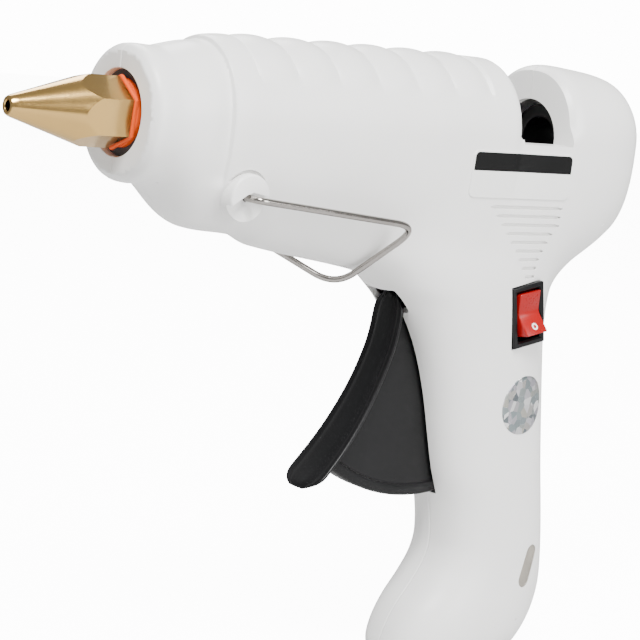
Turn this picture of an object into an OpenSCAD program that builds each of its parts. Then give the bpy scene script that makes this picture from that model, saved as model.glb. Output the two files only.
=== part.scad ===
// Hot-melt glue gun for 11 mm sticks. X runs from the nozzle tip to the back, Y across, Z up.
// The origin is the centre of the nozzle's mouth, and the glue stick runs along the X axis.

/* [Casing] */
// Wall thickness of the moulded casing
wall = 2.2; // [1.8:0.1:2.6]
// Half width of the barrel
barrel_half = 18; // [17.5:0.1:18.5]
// Height of the barrel's ribbed top above the stick's axis
barrel_top = 21; // [20:0.1:22]
// X of the round front rim
front_x = 29.3; // [29:0.1:30]
// X of the barrel's back end, where the open saddle starts
saddle_x = 148; // [147:0.5:149]
// X of the rear hood's front face
hood_x = 166; // [165:0.5:167]
// X of the hood's back
back_x = 200; // [199:0.5:201]
// Z of the handle's flat bottom
handle_z = -150; // [-152:1:-148]
// Number of ribs across the barrel's top
rib_count = 6; // [5:1:8]
// Height of one rib
rib_high = 0.7; // [0.3:0.1:0.9]

/* [Glue path] */
// Diameter of the hole that the glue stick slides through
stick_hole_d = 12.4; // [12:0.1:13]
// Diameter of the hole in the nozzle's mouth
mouth_d = 2.5; // [1.5:0.1:3]
// Nozzle hexagon, across its flats
hex_flats = 15; // [14:0.1:15.5]

/* [Trigger and feed] */
// X and Z of the trigger's pivot
pivot = [136, -46];
// How far the trigger turns when squeezed, in degrees
trigger_travel = 24; // [20:1:26]
// Height of the feed pin above the pivot
feed_arm = 26; // [25:0.5:27]
// Width of the trigger's finger blade where it is widest
blade_w = 14.6; // [13:0.2:16]

/* [Wire stand] */
// Diameter of the stand's wire
wire_d = 1.8; // [1.6:0.1:2]
// X and Z of the stand's pivot
stand_pivot = [57.5, -17.3];

/* [Hidden] */
$fn = 48;
far = 400;
fit = 0.05;

// ---- curves through hand-picked points -------------------------------------------------
// keys is a list of [place, value]; the curve is smooth and passes through every key.
function slope(keys, i) =
    let (a = max(i - 1, 0), b = min(i + 1, len(keys) - 1))
    (keys[b][1] - keys[a][1]) / (keys[b][0] - keys[a][0]);
function span(keys, t, i = 0) = (i >= len(keys) - 2 || t <= keys[i + 1][0]) ? i : span(keys, t, i + 1);
function curve(keys, t) =
    let (i = span(keys, t), p = keys[i], q = keys[i + 1], w = q[0] - p[0],
        s = min(max((t - p[0]) / w, 0), 1), s2 = s * s, s3 = s2 * s)
    (2 * s3 - 3 * s2 + 1) * p[1] + (s3 - 2 * s2 + s) * w * slope(keys, i)
        + (3 * s2 - 2 * s3) * q[1] + (s3 - s2) * w * slope(keys, i + 1);
function power(v, n) = sign(v) * pow(abs(v), 2 / n);

// ---- outlines of the casing ------------------------------------------------------------
// Barrel: top, underside and half width along X
top_keys = [[29.3, 14.6], [30.6, 16], [32, 16.5], [38, 16.4], [40, 16.8], [50, 19.3], [53, 20.2],
    [58, 20.6], [144, barrel_top], [147, barrel_top - 1.6], [saddle_x, barrel_top - 4]];
low_keys = [[29.3, -14.6], [30.6, -16], [32, -16.5], [36, -16.5], [39, -18], [46, -24.6],
    [51, -27], [66, -28.8], [72, -31.4], [105, -37.2], [120, -41], [146, -44], [saddle_x, -44]];
// Roundness of the barrel's lower half along X: 2 is an ellipse, and more is squarer
low_shape = [[29.3, 2.25], [66, 2.25], [88, 1.9], [108, 1.9], [128, 2.25], [148, 2.25]];
side_keys = [[29.3, 14.6], [30.6, 16], [32, 16.5], [38, 16.2], [50, 17.2], [53, 17.9],
    [60, barrel_half], [144, barrel_half], [147, barrel_half - 0.9], [saddle_x, barrel_half - 3]];
// Hood: top, underside and half width along X
hood_top_keys = [[134, 8], [150, 20.6], [165, 20.8], [176, 20.3], [190, 18.6], [195, 15.8], [198, 10.5], [200, 0]];
hood_low_keys = [[134, -42], [166, -44], [176, -38.6], [184, -34], [192, -29], [197, -24.6], [200, -15]];
hood_side_keys = [[134, 16], [150, 18], [165, 18.6], [180, 18.2], [190, 17], [196, 14.6], [199, 10.5], [200, 7.5]];
// Handle: front, back and half width up Z
grip_front_keys = [[-150, 137], [-147, 132.6], [-141, 133.2], [-134, 136.6], [-127, 142], [-121, 145.8],
    [-115, 147.2], [-104, 145.4], [-93, 141.2], [-83, 138.2], [-73, 135.3], [-63, 131.6], [-54, 127],
    [-46, 121], [-40, 114], [-30, 104], [-10, 98]];
grip_back_keys = [[-150, 172], [-148, 177], [-143, 181.5], [-136, 185.4], [-128, 187], [-117, 185.8],
    [-88, 180.8], [-58, 176], [-48, 175.4], [-40, 177], [-32, 182], [-24, 186], [-10, 188]];
grip_side_keys = [[-150, 11], [-147, 14], [-140, 15.6], [-120, 15], [-90, 15.2], [-60, 16.2], [-40, 17], [-28, 16.6], [-10, 15]];

// One rib is a low hump with a narrow valley at each end
rib_from = 59;
rib_to = 137;
rib_pitch = (rib_to - rib_from) / rib_count;
function rib(x) = (x < rib_from || x > rib_to) ? 0
    : rib_high * pow(abs(sin(180 * (x - rib_from) / rib_pitch)), 0.6);

// A ring has more points on the outside, where it shows
function ring_points(inset) = inset <= 0 ? 24 : 16;
function barrel_ring(x, inset) =
    let (w = curve(side_keys, x) - inset, t = curve(top_keys, x) - inset + (inset <= 0 ? rib(x) : 0),
        b = -curve(low_keys, x) - inset)
    [for (i = [0 : ring_points(inset) - 1])
        let (a = 360 * (i + 0.5) / ring_points(inset), up = sin(a) > 0, n = up ? 2.1 : curve(low_shape, x))
        [x, w * power(cos(a), n), (up ? t : b) * power(sin(a), n)]];
function hood_ring(x, inset) =
    let (w = curve(hood_side_keys, x) - inset, t = curve(hood_top_keys, x) - inset,
        b = -curve(hood_low_keys, x) - inset)
    [for (i = [0 : ring_points(inset) - 1])
        let (a = 360 * (i + 0.5) / ring_points(inset), up = sin(a) > 0)
        [x, w * power(cos(a), up ? 2.2 : 2.6), (up ? t : b) * power(sin(a), up ? 2.2 : 2.6)]];
function grip_ring(z, inset) =
    let (f = curve(grip_front_keys, z) + inset, r = curve(grip_back_keys, z) - inset,
        w = curve(grip_side_keys, z) - inset, m = (f + r) / 2)
    [for (i = [0 : ring_points(inset) - 1])
        let (a = 360 * (i + 0.5) / ring_points(inset))
        [m + (r - f) / 2 * power(cos(a), 2.5), w * power(sin(a), 2.5), z]];

// Skin over a list of rings, each with the same number of points, closed by its two ends
module skin(rings) {
    n = len(rings[0]);
    last = len(rings) - 1;
    polyhedron(
        points = [for (r = rings) each r],
        faces = concat(
            [for (k = [0 : last - 1]) for (i = [0 : n - 1]) let (j = (i + 1) % n)
                each [[k * n + j, k * n + i, (k + 1) * n + i], [k * n + j, (k + 1) * n + i, (k + 1) * n + j]]],
            [[for (i = [0 : n - 1]) i]],
            [[for (i = [n - 1 : -1 : 0]) last * n + i]]));
}

// Stations along X or up Z: every one that shapes the rims and the ribs, fewer for the inside
function barrel_stations(inset) = inset <= 0
    ? concat([29.3, 30.2, 32, 38, 41, 46, 51, 53.5, rib_from],
        [for (k = [0 : rib_count - 1]) for (s = [0.14, 0.5, 0.86, 1]) rib_from + (k + s) * rib_pitch],
        [144, 147, saddle_x])
    : [front_x + wall, 38, 46, 52, 66, 72, 105, 125, saddle_x - wall];
function hood_stations(inset) = inset <= 0
    ? [134, 150, 166, 178, 186, 192, 196, 198.5, 200]
    : [136, 150, 176, 186, 193, back_x - wall];
function grip_stations(inset) = inset <= 0
    ? [-150, -148.5, -145, -140, -134, -127, -120, -112, -98, -83, -68, -55, -46, -38, -28, -18, -10]
    : [handle_z + wall, -145, -137, -129, -120, -105, -80, -60, -46, -32, -20, -12];

module casing_body(inset) {
    skin([for (x = barrel_stations(inset)) barrel_ring(x, inset)]);
    skin([for (x = hood_stations(inset)) hood_ring(x, inset)]);
    skin([for (z = grip_stations(inset)) grip_ring(z, inset)]);
}

// The open saddle between barrel and hood, cut across the whole width
saddle_floor = -0.6;
trough_r = 11;
module saddle_cut() {
    translate([saddle_x, -far / 2, saddle_floor]) cube([hood_x - saddle_x, far, 40]);
}
// Half-round trough under the stick between the barrel's back wall and the hood's front wall
module trough(r) {
    translate([saddle_x - wall, 0, 0]) rotate([0, 90, 0]) cylinder(h = hood_x - saddle_x + 2 * wall, r = r);
}

// Straight extrusion across Y of a shape drawn in X and Z
module across(from_y, to_y) {
    translate([0, to_y, 0]) rotate([90, 0, 0]) linear_extrude(to_y - from_y) children();
}
// Round bar across Y at an X and Z
module bar(at, from_y, to_y, r) {
    translate([at[0], from_y, at[1]]) rotate([-90, 0, 0]) cylinder(h = to_y - from_y, r = r);
}
// Round bar along X
module rod(x0, x1, r) {
    translate([x0, 0, 0]) rotate([0, 90, 0]) cylinder(h = x1 - x0, r = r);
}
module tube(x0, x1, r_out, r_in) {
    difference() {
        rod(x0, x1, r_out);
        rod(x0 - 1, x1 + 1, r_in);
    }
}

// ---- casing halves ---------------------------------------------------------------------
screws = [[46, -16.8], [104, -28.5], [189, -20], [170, -66], [175, -137]];
screw_r = 1.5;
post_r = 3.6;
opening_r = 10.4;
slot_half = 3.4;
mouth_half = 6.4;
slot_reach = 55.4;
switch_at = [158.4, -47.4];
switch_tilt = 11;
switch_size = [11.8, 17.4];
switch_face = -16.1;
window_at = [173.5, -121.5];
gland_x = 156;
gland_r = 4.5;
clamp_screws = [gland_x - 6, gland_x + 6];
clamp_z = handle_z + 14.5;

// side is -1 for the left half and 1 for the right half
module half_space(side) {
    translate([-far / 2, side < 0 ? -far : 0, -far / 2]) cube([far * 2, far, far]);
}
module handed(side) {
    if (side < 0) mirror([0, 1, 0]) children();
    else children();
}
module shell(side) {
    intersection() {
        difference() {
            casing_body(0);
            difference() {
                casing_body(wall);
                trough(trough_r + wall);
                translate([saddle_x - wall, -far / 2, saddle_floor - wall])
                    cube([wall, far, 40]);
                translate([saddle_x - wall, -far / 2, saddle_floor - wall])
                    cube([hood_x - saddle_x + 2 * wall, far, wall + 1]);
                translate([hood_x, -far / 2, saddle_floor - wall]) cube([wall, far, 40]);
            }
            saddle_cut();
        }
        half_space(side);
    }
}
// Slot in the handle's front for the trigger's fin, and a wider mouth for the blade's top
module trigger_slot() {
    across(-slot_half, slot_half) intersection() {
        translate(pivot) circle(r = slot_reach);
        polygon([[108, -44], [124, -42], [150, -60], [158, -120], [100, -120]]);
    }
    across(-mouth_half, mouth_half)
        polygon([[113, -42], [127.5, -42], [127.5, -52], [113, -52]]);
}
module switch_cutout(margin, from_y, to_y) {
    across(from_y, to_y) translate(switch_at) rotate(switch_tilt)
        square(switch_size - [2, 2] + [margin, margin] * 2, center = true);
}
module casing_half(side) {
    resize([0, 0, 0]) difference() {
        union() {
            shell(side);
            intersection() {
                casing_body(0);
                handed(side) {
                    // screw posts reach the seam
                    for (s = screws) bar(s, 0, 20, post_r);
                    // trigger pin post
                    bar(pivot, 7, 20, 3.6);
                    // posts for the cord clamp's screws, in the left half
                    if (side < 0) for (x = clamp_screws) bar([x, clamp_z], 4, 20, 2.8);
                    // walls that hold the melt chamber's two support rings
                    for (x = [33, 92.5]) translate([x, 0, 0]) support_rib();
                }
            }
            // wire stand boss outside the flank
            handed(side) bar(stand_pivot, 10.5, 18, 5.6);
        }
        trough(trough_r);
        rod(20, 45, opening_r);
        rod(back_x - 8, back_x + 5, 8.1);
        trigger_slot();
        handed(side) for (s = screws) bar(s, -1, 10, screw_r - fit);
        if (side > 0) for (s = screws) bar(s, -1, 40, screw_r + 0.15);
        if (side > 0) for (s = screws) bar(s, 7, 40, 3.1);
        if (side < 0) for (x = clamp_screws) bar([x, clamp_z], -10.2, 0, 1.05);
        handed(side) bar(pivot, -1, 14, 1.5 + fit);
        handed(side) bar(stand_pivot, 6, 40, wire_d / 2 + fit);
        if (side < 0) switch_cutout(0.05, -40, -8);
        if (side < 0) switch_cutout(1.1, -40, switch_face + 0.75);
        if (side < 0) across(-40, -8) window_outline(0);
        translate([gland_x, 0, handle_z - 1]) cylinder(h = 8, r = gland_r + fit);
    }
}
// A thin wall across the barrel with a round seat for a support ring
module support_rib() {
    difference() {
        translate([0, 0, -20]) cube([4.5, 14, 32]);
        translate([-1, 0, 0]) rotate([0, 90, 0]) cylinder(h = 8, r = 12.5 + fit);
    }
}
module casing_left() {
    color("whitesmoke") casing_half(-1, $fn = 24);
}
module casing_right() {
    color("whitesmoke") casing_half(1, $fn = 24);
}
// Self-tapping screws, all from the right side
module casing_screws() {
    color("silver") for (s = screws) {
        difference() {
            union() {
                bar(s, -8, 7, screw_r - fit);
                bar(s, 7, 9, 2.8);
            }
            translate([s[0], 9, s[1]]) for (a = [0, 90])
                rotate([0, a, 0]) cube([0.7, 2, 3.4], center = true);
        }
    }
}

// ---- nozzle and drip valve -------------------------------------------------------------
tip_r = 2.35;
hex_back = 28.9;
cone_end = 20.5;
hex_corner = hex_flats / sqrt(3);
cone_slope = (hex_corner - tip_r) / cone_end;
thread_r = 6;
valve_r = 3.4;
module nozzle() {
    color("goldenrod") difference() {
        union() {
            intersection() {
                rotate([0, 90, 0]) rotate([0, 0, 6]) cylinder(h = hex_back, r = hex_corner, $fn = 6);
                rotate([0, 90, 0]) cylinder(h = hex_back, r1 = tip_r, r2 = tip_r + cone_slope * hex_back);
            }
            rod(hex_back - 0.5, 42, thread_r);
        }
        rod(-1, 12, mouth_d / 2);
        rod(11, 43, valve_r);
    }
}
module nozzle_collar() {
    color("darkorange") difference() {
        union() {
            intersection() {
                translate([hex_back, 0, 0]) rotate([0, 90, 0]) rotate([0, 0, 6])
                    cylinder(h = 1, r = hex_corner + 0.5, $fn = 6);
                rod(hex_back, 31, 9);
            }
            rod(hex_back + 0.9, 36, 8.2);
        }
        rod(20, 40, thread_r);
    }
}
ball_r = 2.4;
ball_x = 34;
seat_x = ball_x + 1.2;
module valve_seat_ring() {
    color("goldenrod") difference() {
        rod(seat_x, 40, valve_r);
        rod(seat_x - 1, 41, 1.9);
    }
}
module valve_ball() {
    color("lightgray") translate([ball_x - 0.05 - (sqrt(pow(ball_r, 2) - pow(1.9, 2)) - 1.2), 0, 0])
        sphere(r = ball_r);
}
// Round-wire coil along +X, as a closed tube of flat sides
module coil(from_x, length, radius, wire, turns, at = [0, 0], steps = 12, sides = 6) {
    n = turns * steps;
    skin([for (k = [0 : n])
        let (a = 360 * k / steps, c = [from_x + length * k / n, at[0] + radius * cos(a), at[1] + radius * sin(a)],
            out = [0, cos(a), sin(a)])
        [for (s = [0 : sides - 1])
            let (b = -360 * s / sides)
            c + wire * (cos(b) * out + sin(b) * [1, 0, 0])]]);
}
module valve_spring() {
    color("lightgray") coil(12.4, 18.2, 2.2, 0.28, 7);
}

// ---- melt chamber, heater and supports -------------------------------------------------
chamber_x = [38, 98];
chamber_r = 9.6;
heater_x = 58.5;
heater_z = -17;
module melt_chamber() {
    color("silver") difference() {
        union() {
            rod(chamber_x[0], chamber_x[1], chamber_r);
            translate([heater_x - 1.5, -8, heater_z + 2]) cube([31, 16, 8]);
            for (y = [-9.5, 8]) translate([heater_x - 1.5, y, heater_z - 3]) cube([31, 1.5, 11]);
        }
        rod(37, 43, thread_r);
        rod(42, 50, 3.5);
        translate([49.9, 0, 0]) rotate([0, 90, 0]) cylinder(h = 36, r1 = 3.5, r2 = 5.9);
        rod(85, 99, 5.9);
    }
}
module heater_element() {
    color("dimgray") translate([heater_x, -7, heater_z - 1.6]) cube([28, 14, 3]);
}
// A shallow tray round the element, open above and at its front
module heater_insulator() {
    color("peru") difference() {
        translate([heater_x - 1, -7.9, heater_z - 2.4]) cube([30, 15.8, 4]);
        translate([heater_x - 2, -7, heater_z - 1.6]) cube([30, 14, 5]);
    }
}
module heater_clip() {
    color("silver") translate([heater_x + 3, -7.9, heater_z - 3.4]) cube([22, 15.8, 1]);
}
module front_support_ring() {
    color([0.1, 0.1, 0.1]) difference() {
        rod(31, 43, 10.2);
        rod(30, chamber_x[0] + fit, 8.3);
        rod(chamber_x[0] - fit, 50, chamber_r);
    }
}
module rear_support_ring() {
    color([0.15, 0.12, 0.1]) tube(90, 97, 12.5 - guide_gap, chamber_r);
}
module inlet_sleeve() {
    color("orangered") difference() {
        rod(chamber_x[1], 117, 8);
        rod(80, 120, stick_hole_d / 2);
    }
}
// The trough is a coarse mesh, so the guide stays a little further from it
guide_gap = 0.2;
module barrel_guide() {
    color([0.1, 0.1, 0.1]) tube(saddle_x - wall + 0.1, saddle_x - 0.4, trough_r - guide_gap, stick_hole_d / 2);
}
hood_guide_x = [171, 199.2];
module hood_guide() {
    color([0.1, 0.1, 0.1]) {
        tube(hood_guide_x[0], hood_guide_x[1], 8, stick_hole_d / 2);
        tube(hood_guide_x[0], hood_guide_x[0] + 1.5, 9.6, stick_hole_d / 2);
    }
}

// ---- trigger ---------------------------------------------------------------------------
blade_front = [[39.2, -32.7], 84.1];
blade_back = [[22.8, -25], 103.2];
fin_half = 2.6;
fin_r = 54.6;
rest_lean = trigger_travel / 2;
arm_pin_x = feed_arm * tan(rest_lean);
// Side view of the curved finger blade, between two arcs
module blade_outline() {
    difference() {
        intersection() {
            translate(blade_back[0]) circle(r = blade_back[1], $fn = 160);
            polygon([[80, -95.4], [130, -99], [130, -43], [118, -43], [112, -50]]);
            translate(pivot) circle(r = 60.8, $fn = 120);
        }
        translate(blade_front[0]) circle(r = blade_front[1], $fn = 160);
    }
}
// Front view of half the blade, as a share of its greatest half width at each Z
blade_half = [[0.4, -43], [0.76, -49], [0.82, -68], [1, -91], [0.86, -97], [0, -99]];
module blade() {
    intersection() {
        across(-blade_w / 2, blade_w / 2) blade_outline();
        translate([70, 0, 0]) rotate([90, 0, 90]) linear_extrude(60)
            polygon(concat([for (p = blade_half) [p[0] * blade_w / 2, p[1]]],
                [for (p = blade_half) [-p[0] * blade_w / 2, p[1]]]));
    }
}
// Side view of the flat fin that runs into the handle
module fin_outline() {
    intersection() {
        difference() {
            translate(pivot) circle(r = fin_r, $fn = 120);
            translate(blade_front[0]) circle(r = blade_front[1] + 1, $fn = 160);
        }
        polygon([pivot + [-22, -1], pivot + [-2, 4], pivot + [6, 0],
            pivot + [13.5, -fin_r - 2], pivot + [-60, -fin_r - 2]]);
    }
}
module trigger() {
    color([0.12, 0.12, 0.13]) difference() {
        union() {
            blade();
            across(-fin_half, fin_half) fin_outline();
            bar(pivot, -6.6, 6.6, 5);
            // arm up to the feed pin
            across(-2.2, 2.2) translate(pivot) rotate(-rest_lean) polygon([[-5, 0], [-3.6, feed_arm + 3],
                [3.6, feed_arm + 3], [5, 0]]);
        }
        bar(pivot, -10, 10, 1.55);
        // slot for the feed pin
        across(-3, 3) translate(pivot) rotate(-rest_lean) translate([-1.35, feed_arm - 1.8]) square([2.7, 9]);
        // eye for the return spring
        bar(pivot + 15 * [sin(rest_lean), cos(rest_lean)], -3, 3, 0.9);
    }
}
module trigger_pin() {
    color("silver") bar(pivot, -13.9, 13.9, 1.5);
}
spring_z = pivot[1] + 15 * cos(rest_lean);
module return_spring() {
    color("lightgray") {
        coil(145, 19, 2.2, 0.4, 11, [0, spring_z], 10, 5);
    }
}

// ---- feed carriage and grip lever ------------------------------------------------------
feed_pin_at = [pivot[0] + arm_pin_x, pivot[1] + feed_arm];
lever_pin_at = [feed_pin_at[0], -11.4];
carriage_x = [feed_pin_at[0] - 11, feed_pin_at[0] + 3.6];
module feed_carriage() {
    color("gray") difference() {
        union() {
            rod(carriage_x[0], carriage_x[1], 8.6);
            for (y = [-5.6, 3.8]) translate([lever_pin_at[0] - 3.4, y, -14]) cube([6.8, 1.8, 10]);
            translate([carriage_x[0], -12, -2]) cube([carriage_x[1] - carriage_x[0], 24, 4]);
        }
        rod(carriage_x[0] - 1, carriage_x[1] + 1, stick_hole_d / 2);
        translate([lever_pin_at[0] - 6, -3.8, -15]) cube([20, 7.6, 14]);
        bar(lever_pin_at, -10, 10, 1);
    }
}
module grip_lever_pin() {
    color("silver") bar(lever_pin_at, -5.6, 5.6, 1);
}
// Two cheeks joined above by a toothed pad that bites the stick
module grip_lever() {
    color("dimgray") difference() {
        union() {
            for (y = [-3.5, 2.5]) across(y, y + 1) {
                translate(lever_pin_at) circle(r = 2.4);
                translate(feed_pin_at) circle(r = 2.2);
                translate([lever_pin_at[0] - 2, feed_pin_at[1]]) square([4, 12.6]);
            }
            across(-3.5, 3.5) translate([lever_pin_at[0] - 2, -9.2])
                polygon([[0, 0], [4, 0], [4, 1.8], [3.4, 2.6], [2.7, 1.8], [2, 2.6], [1.3, 1.8], [0.6, 2.6], [0, 1.8]]);
        }
        bar(lever_pin_at, -10, 10, 1 + fit);
        bar(feed_pin_at, -10, 10, 1.2);
    }
}
module feed_pin() {
    color("silver") bar(feed_pin_at, -3.5, 3.5, 1.2);
}

// ---- wire stand ------------------------------------------------------------------------
// Route of the bent wire: into the left boss, along the flank, under the belly and back
stand_y = 21.5;
stand_route = [
    [stand_pivot[0], -13.5, stand_pivot[1]], [stand_pivot[0], -stand_y, stand_pivot[1]],
    [110.1, -stand_y, -22.9], [101.8, -0.5, -41.9],
    [stand_pivot[0], stand_y, stand_pivot[1]], [stand_pivot[0], 13.5, stand_pivot[1]]
];
bend_r = [2.6, 8, 7, 2.6];
function unit(v) = v / norm(v);
// A corner's points on a smooth bend that starts and ends a short way from it
function bend(p, q, r, s, steps = 5) =
    let (a = q + unit(p - q) * s, b = q + unit(r - q) * s)
    [for (k = [0 : steps]) let (t = k / steps) (1 - t) * (1 - t) * a + 2 * t * (1 - t) * q + t * t * b];
stand_path = concat([stand_route[0]],
    [for (k = [1 : len(stand_route) - 2])
        each bend(stand_route[k - 1], stand_route[k], stand_route[k + 1], bend_r[k - 1])],
    [stand_route[len(stand_route) - 1]]);
// Tube of flat sides swept along a path; the ring's first point turns as little as it can
function path_way(path, k) = unit(path[min(k + 1, len(path) - 1)] - path[max(k - 1, 0)]);
function carried(path, side, k) = let (t = path_way(path, k)) unit(side - (side * t) * t);
function sides_along(path, side, k = 0) = k >= len(path) ? []
    : let (here = carried(path, side, k)) concat([here], sides_along(path, here, k + 1));
module swept(path, r, first_side, sides = 12) {
    around = sides_along(path, first_side);
    skin([for (k = [0 : len(path) - 1])
        let (u = around[k], v = cross(path_way(path, k), u))
        [for (s = [0 : sides - 1])
            let (a = 360 * s / sides)
            path[k] + r * (cos(a) * u + sin(a) * v)]]);
}
module wire_stand() {
    color("silver") {
        swept(stand_path, wire_d / 2 * 0.985, [0, 0, 1]);
        for (side = [0, 1]) mirror([0, side, 0]) bar(stand_pivot, -16.6, -13, wire_d / 2);
    }
}

// ---- power switch ----------------------------------------------------------------------
module in_switch() {
    translate([switch_at[0], switch_face, switch_at[1]]) rotate([0, -switch_tilt, 0]) children();
}
module switch_frame() {
    color([0.1, 0.1, 0.1]) in_switch() difference() {
        union() {
            translate([-switch_size[0] / 2, -1.2, -switch_size[1] / 2])
                cube([switch_size[0], 1.9, switch_size[1]]);
            translate([-switch_size[0] / 2 + 1, 0.5, -switch_size[1] / 2 + 1])
                cube([switch_size[0] - 2, 11, switch_size[1] - 2]);
        }
        translate([-4.2, -4, -7]) cube([8.4, 12.4, 14]);
        translate([-8, rocker_pin_y, 0]) rotate([0, 90, 0]) cylinder(h = 16, r = 0.8);
    }
}
// The rocker's side view is a shallow V that turns about its pin, with the lower end out at rest
rocker_pin_y = 1.5;
rocker_half = 12;
module switch_rocker() {
    color("red") in_switch() translate([-3.9, rocker_pin_y, 0]) rotate([-rocker_half, 0, 0]) difference() {
        rotate([90, 0, 90]) linear_extrude(7.8)
            polygon([[-5, 5.9], [-2.7, 0], [-5, -5.9], [1, -5.9], [4, -3], [5, 0], [4, 3], [1, 5.9]]);
        rotate([0, 90, 0]) translate([0, 0, -1]) cylinder(h = 10, r = 0.8 + fit);
    }
}
module switch_rocker_pin() {
    color("silver") in_switch() translate([-4.9, rocker_pin_y, 0]) rotate([0, 90, 0]) cylinder(h = 9.8, r = 0.8);
}
module switch_terminals() {
    color("gold") in_switch() for (z = [-4, 4]) translate([-2, 11.5, z - 0.4]) cube([4, 7, 0.8]);
}

// ---- plate, sticker, indicator and cord inlet ------------------------------------------
// A thin film that lies on the casing's flank inside an outline drawn in X and Z
module film(thick) {
    resize([0, 0, 0]) difference() {
        intersection() {
            casing_body(-thick);
            across(-40, -6) children();
        }
        casing_body(0);
    }
}
plate_at = [150, -9.2];
plate_size = [36, 12.4];
module rating_plate() {
    color("white") film(0.4) translate(plate_at) square(plate_size, center = true);
}
sticker_at = [162.5, -73.4];
sticker_r = 8.4;
module inspection_sticker() {
    color("lightgray") film(0.15) translate(sticker_at) circle(r = sticker_r);
}
window_tilt = -16;
module window_outline(margin) {
    translate(window_at) rotate(window_tilt) {
        square([4.6 + 2 * margin, 8 + 2 * margin], center = true);
        for (s = [-1, 1]) translate([0, 4 * s]) circle(r = 2.3 + margin);
    }
}
module indicator_window() {
    color([0.9, 0.88, 0.82]) across(-13.4, -11.4) window_outline(-fit);
}
module indicator_led() {
    color("red") {
        bar(window_at, -10.6, -6, 1.5);
        bar(window_at, -6.5, -5, 1.9);
    }
}
// The two leads from the heater back to the switch, laid along the casing's right wall
lead_r = 0.9;
lead_route = [[88.5, 5, -17.5], [91, 5.6, -21.6], [98, 6.5, -22.4], [110, 7, -23.5], [128, 8, -29],
    [148, 9.5, -34], [155, 10, -50], [162, 9.5, -90], [164, 8, -120], [157, 4, -132]];
module heater_leads() {
    color("firebrick") swept(lead_route, lead_r, [0, 0, 1], 8);
}
module cord_gland() {
    color([0.1, 0.1, 0.1]) translate([gland_x, 0, handle_z - 1.2]) difference() {
        union() {
            cylinder(h = 6.5, r = gland_r);
            cylinder(h = 1.2, r = gland_r + 1.6);
            translate([0, 0, 3.6]) cylinder(h = 1.6, r = gland_r + 1.2);
        }
        translate([0, 0, -1]) cylinder(h = 10, r = 2.7);
    }
}
module cord_clamp() {
    color("whitesmoke") translate([gland_x - 9, -4, handle_z + 12]) difference() {
        cube([18, 3, 5]);
        for (x = [3, 15]) translate([x, -1, 2.5]) rotate([-90, 0, 0]) cylinder(h = 5, r = 1.1);
    }
}
module cord_clamp_screws() {
    color("silver") for (x = clamp_screws) {
        bar([x, clamp_z], -10, -1, 1.05);
        bar([x, clamp_z], -1, 0.4, 2);
    }
}

casing_left();
casing_right();
casing_screws();
nozzle();
nozzle_collar();
valve_seat_ring();
valve_ball();
valve_spring();
melt_chamber();
front_support_ring();
rear_support_ring();
heater_element();
heater_insulator();
heater_clip();
inlet_sleeve();
barrel_guide();
hood_guide();
trigger();
trigger_pin();
return_spring();
feed_carriage();
grip_lever();
grip_lever_pin();
feed_pin();
wire_stand();
switch_frame();
switch_rocker();
switch_rocker_pin();
switch_terminals();
rating_plate();
inspection_sticker();
indicator_window();
indicator_led();
heater_leads();
cord_gland();
cord_clamp();
cord_clamp_screws();
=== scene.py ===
import math

import bmesh
import bpy
import numpy as np
from mathutils import Matrix, Vector


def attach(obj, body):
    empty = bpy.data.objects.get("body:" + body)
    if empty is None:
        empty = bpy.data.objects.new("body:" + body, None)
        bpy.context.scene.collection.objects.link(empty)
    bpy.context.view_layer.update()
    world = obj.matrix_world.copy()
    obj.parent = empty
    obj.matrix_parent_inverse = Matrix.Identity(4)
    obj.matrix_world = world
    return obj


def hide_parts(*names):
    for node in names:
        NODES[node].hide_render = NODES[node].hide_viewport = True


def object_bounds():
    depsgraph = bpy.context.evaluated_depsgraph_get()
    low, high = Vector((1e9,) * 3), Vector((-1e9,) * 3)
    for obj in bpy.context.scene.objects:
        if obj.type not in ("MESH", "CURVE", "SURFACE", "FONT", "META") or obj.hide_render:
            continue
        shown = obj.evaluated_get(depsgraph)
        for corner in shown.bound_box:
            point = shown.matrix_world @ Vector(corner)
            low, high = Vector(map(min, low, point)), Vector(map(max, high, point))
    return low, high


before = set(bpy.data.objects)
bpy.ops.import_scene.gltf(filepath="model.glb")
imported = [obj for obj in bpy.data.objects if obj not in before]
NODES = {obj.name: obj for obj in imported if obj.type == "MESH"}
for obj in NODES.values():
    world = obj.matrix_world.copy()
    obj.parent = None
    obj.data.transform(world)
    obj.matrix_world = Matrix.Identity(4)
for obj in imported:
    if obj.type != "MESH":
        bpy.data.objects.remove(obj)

cad_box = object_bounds()
MM = 0.001
scene = bpy.context.scene

# ---- the casing's outline, in millimetres ---------------------------------------------
TOP = [[29.3, 14.6], [30.6, 16], [32, 16.5], [38, 16.4], [40, 16.8], [50, 19.3], [53, 20.2], [58, 20.6],
       [144, 21], [147, 19.4], [148, 17]]
LOW = [[29.3, -14.6], [30.6, -16], [32, -16.5], [36, -16.5], [39, -18], [46, -24.6], [51, -27],
       [66, -28.8], [72, -31.4], [105, -37.2], [120, -41], [146, -44], [148, -44]]
LOW_SHAPE = [[29.3, 2.25], [66, 2.25], [88, 1.9], [108, 1.9], [128, 2.25], [148, 2.25]]
SIDE = [[29.3, 14.6], [30.6, 16], [32, 16.5], [38, 16.2], [50, 17.2], [53, 17.9], [60, 18], [144, 18],
        [147, 17.1], [148, 15]]
HOOD_TOP = [[134, 8], [150, 20.6], [165, 20.8], [176, 20.3], [190, 18.6], [195, 15.8], [198, 10.5], [200, 0]]
HOOD_LOW = [[134, -42], [166, -44], [176, -38.6], [184, -34], [192, -29], [197, -24.6], [200, -15]]
HOOD_SIDE = [[134, 16], [150, 18], [165, 18.6], [180, 18.2], [190, 17], [196, 14.6], [199, 10.5], [200, 7.5]]
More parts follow.
